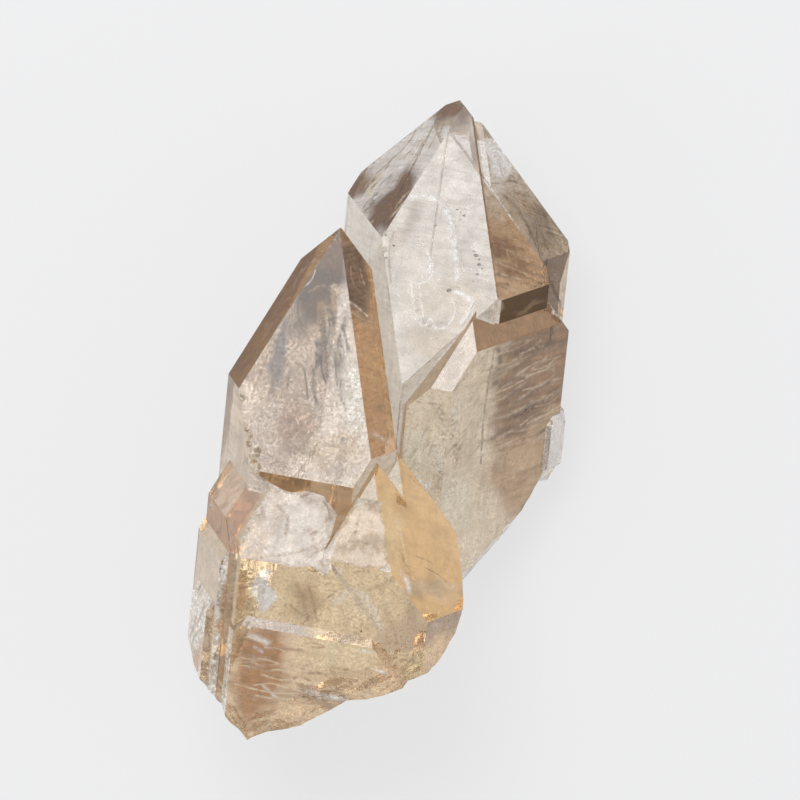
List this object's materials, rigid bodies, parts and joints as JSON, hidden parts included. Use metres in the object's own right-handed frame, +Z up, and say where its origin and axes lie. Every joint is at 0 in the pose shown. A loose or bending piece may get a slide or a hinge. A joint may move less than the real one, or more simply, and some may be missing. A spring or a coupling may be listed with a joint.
{
  "type": "citrine crystal point",
  "caption": "Cluster of smoky honey-yellow quartz points grown side by side as one solid, with stepped faces and a ragged broken foot, lying on a flat break.",
  "frame": {"origin": "centre of the bounding box, on the floor plane that the specimen rests on", "axes": "+Y along the specimen's length in plan, towards the tips; +X towards its right flank seen from above; +Z up"},
  "size_m": [0.0536, 0.0896, 0.0375],
  "materials": {
    "citrine_quartz": "natural glossy faces, see-through"
  },
  "bodies": {
    "root": {"crystal_cluster": "citrine_quartz"}
  },
  "joints": []
}
